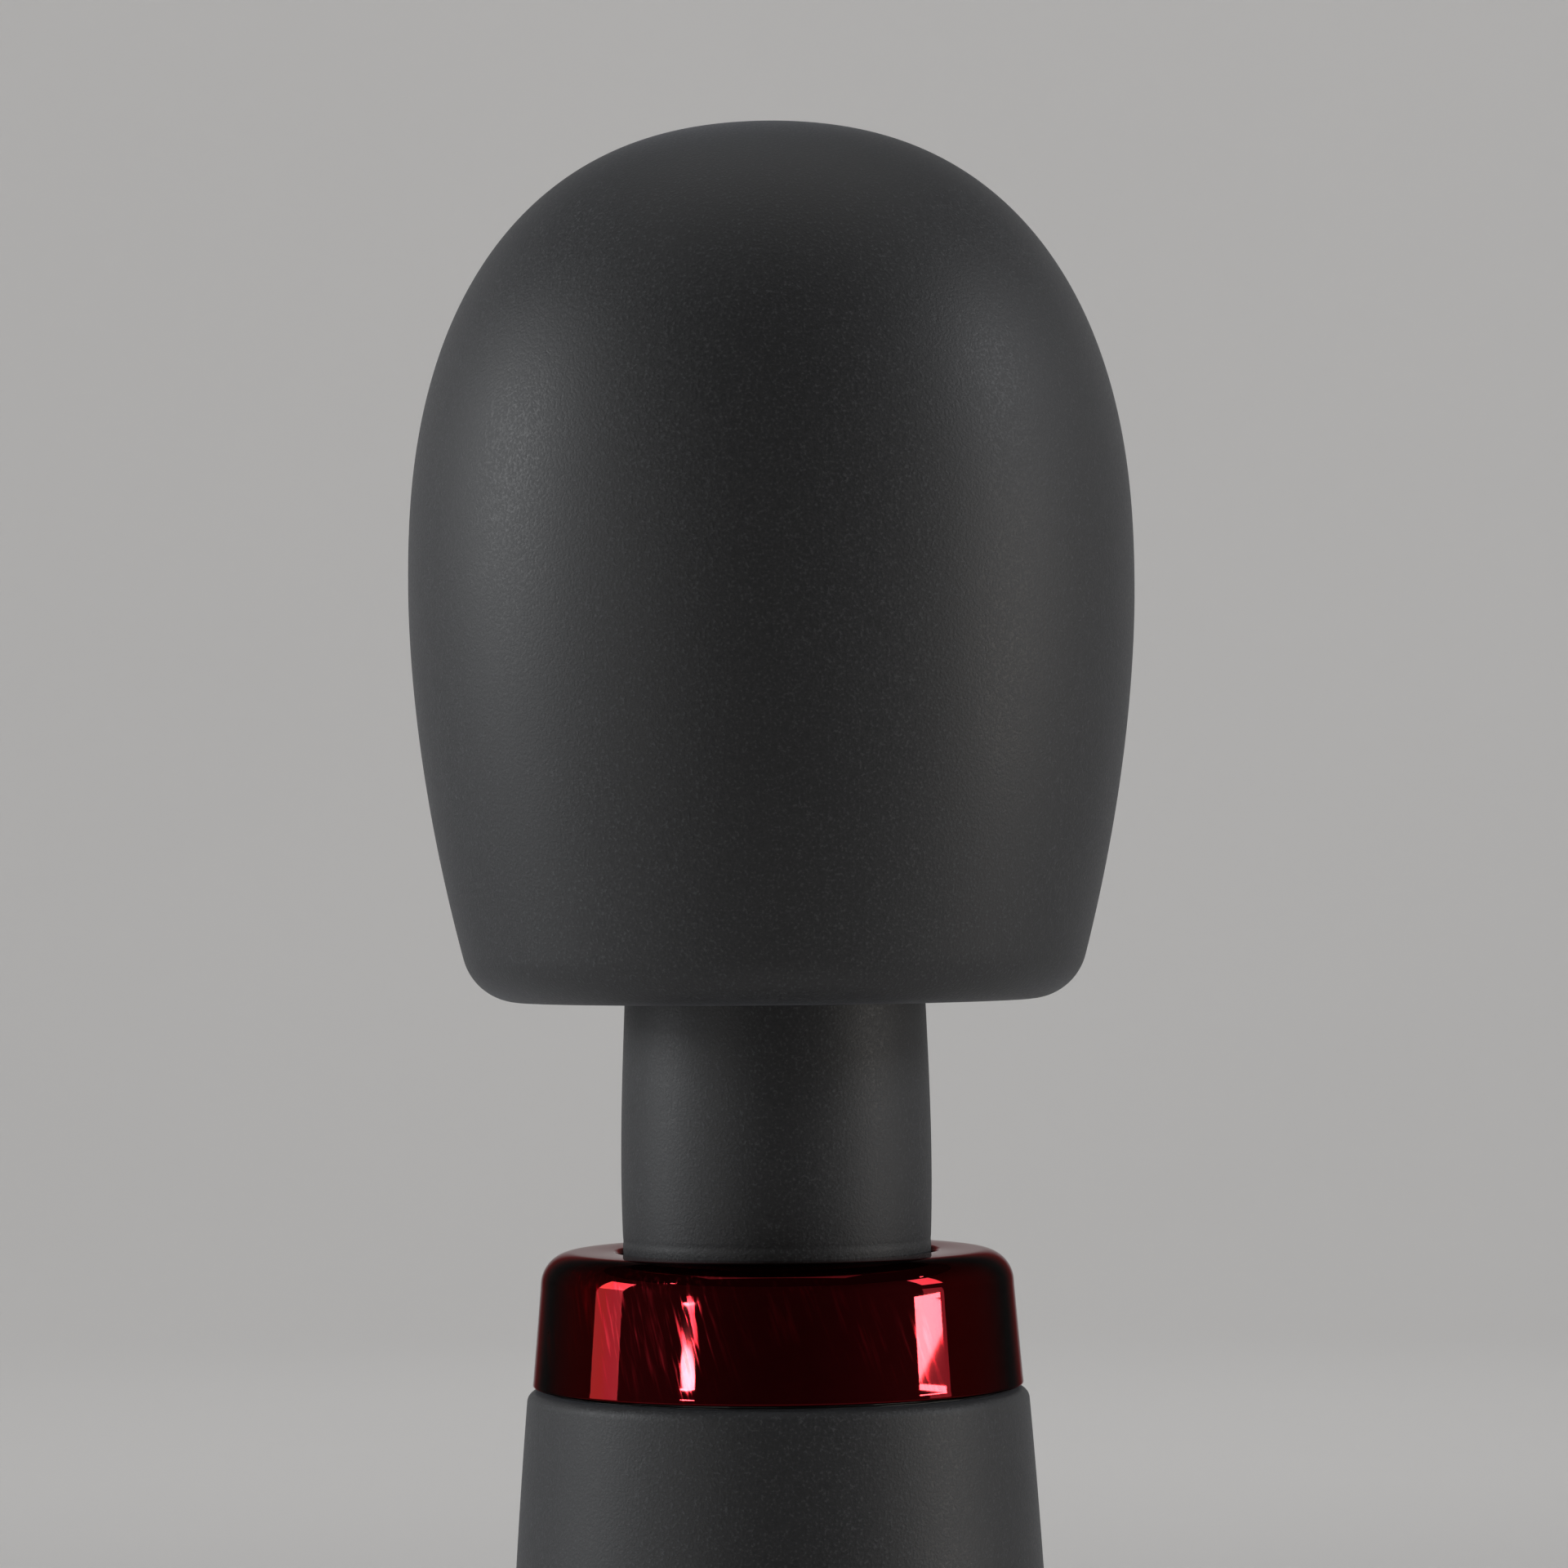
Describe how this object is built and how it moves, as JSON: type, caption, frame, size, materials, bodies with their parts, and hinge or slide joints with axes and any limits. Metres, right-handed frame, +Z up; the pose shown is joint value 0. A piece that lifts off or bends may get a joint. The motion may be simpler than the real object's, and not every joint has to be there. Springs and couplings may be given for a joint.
{
  "type": "handheld wand massager",
  "caption": "Cordless wand massager: egg-shaped soft head on a flexible neck, mirror-bright collar ring and a soft round handle with push buttons.",
  "frame": {"origin": "centre of the foot's underside, where the wand stands", "axes": "+Z up the long axis towards the head, -Y towards the side with the buttons, +X to the right as seen from the front"},
  "size_m": [0.06, 0.06, 0.3124],
  "materials": {
    "grey_silicone": "matte",
    "dark_silicone": "matte",
    "red_mirror": "gloss",
    "black_rubber": "matte",
    "black_plastic": "satin",
    "white_plastic": "satin",
    "clear_lens": "gloss",
    "steel": "satin",
    "spring_steel": "satin",
    "magnet": "matte",
    "copper": "satin",
    "bearing_brass": "satin",
    "cell_wrap": "satin",
    "board_green": "satin",
    "wire_red": "satin",
    "wire_black": "satin"
  },
  "bodies": {
    "handle": {"collar_ring": "red_mirror", "neck_lower_flange": "black_plastic", "collar_seal": "black_rubber", "core_front": "black_plastic", "core_rear": "black_plastic", "core_screw_1": "steel", "core_screw_2": "steel", "core_screw_3": "steel", "core_screw_4": "steel", "handle_sleeve": "grey_silicone", "base_cap": "black_plastic", "base_foot": "black_rubber", "plus_switch": "black_plastic", "power_switch": "black_plastic", "minus_switch": "black_plastic", "main_board": "board_green", "control_chip": "black_plastic", "status_led": "white_plastic", "led_lens": "clear_lens", "battery_cradle": "black_plastic", "battery_cell_1": "cell_wrap", "battery_cell_2": "cell_wrap", "battery_link": "steel", "charge_socket_shell": "steel", "charge_socket_tongue": "black_plastic", "charge_board": "board_green"},
    "neck_mid": {"neck_sleeve": "grey_silicone", "neck_spring": "spring_steel", "motor_lead_positive": "wire_red", "motor_lead_negative": "wire_black"},
    "head": {"head_cover": "grey_silicone", "head_shell_front": "black_plastic", "head_shell_rear": "black_plastic", "neck_upper_flange": "black_plastic", "motor_bracket": "steel", "bracket_screw_1": "steel", "bracket_screw_2": "steel", "bracket_screw_3": "steel", "motor_can": "steel", "motor_end_cap": "black_plastic", "motor_bearing_lower": "bearing_brass", "motor_bearing_upper": "bearing_brass", "motor_magnet_left": "magnet", "motor_magnet_right": "magnet", "motor_mount_lower": "black_rubber", "motor_mount_upper": "black_rubber"},
    "rotor": {"rotor_shaft": "steel", "armature": "copper", "commutator": "copper", "eccentric_weight": "steel", "weight_set_screw": "steel"},
    "plus_key": {"plus_button": "red_mirror", "plus_plunger": "white_plastic"},
    "power_key": {"power_button": "red_mirror", "power_plunger": "white_plastic"},
    "minus_key": {"minus_button": "red_mirror", "minus_plunger": "white_plastic"},
    "port_cover": {"port_flap": "dark_silicone"}
  },
  "joints": [
    {"name": "neck_pitch", "type": "hinge", "parent": "handle", "child": "neck_mid", "pos_m": [0, 0, 0.22627], "axis": [1, 0, 0], "range_deg": [-15, 15], "stiffness_Nm_per_rad": 4, "deforming": ["neck_sleeve", "neck_spring", "motor_lead_positive", "motor_lead_negative"]},
    {"name": "neck_sway", "type": "hinge", "parent": "neck_mid", "child": "head", "pos_m": [0, 0, 0.23313], "axis": [0, 1, 0], "range_deg": [-15, 15], "stiffness_Nm_per_rad": 4, "deforming": ["neck_sleeve", "neck_spring", "motor_lead_positive", "motor_lead_negative"]},
    {"name": "motor_spin", "type": "hinge", "parent": "head", "child": "rotor", "pos_m": [0, 0, 0.2507], "axis": [0, 0, 1], "continuous": true},
    {"name": "plus_press", "type": "slide", "parent": "handle", "child": "plus_key", "axis": [0, 1, 0], "range_m": [0, 0.0006], "stiffness_N_per_m": 500},
    {"name": "power_press", "type": "slide", "parent": "handle", "child": "power_key", "axis": [0, 1, 0], "range_m": [0, 0.0006], "stiffness_N_per_m": 500},
    {"name": "minus_press", "type": "slide", "parent": "handle", "child": "minus_key", "axis": [0, 1, 0], "range_m": [0, 0.0006], "stiffness_N_per_m": 500},
    {"name": "port_cover_open", "type": "hinge", "parent": "handle", "child": "port_cover", "pos_m": [0, 0.01758, 0.0188], "axis": [-1, 0, 0], "range_deg": [0, 95]}
  ]
}
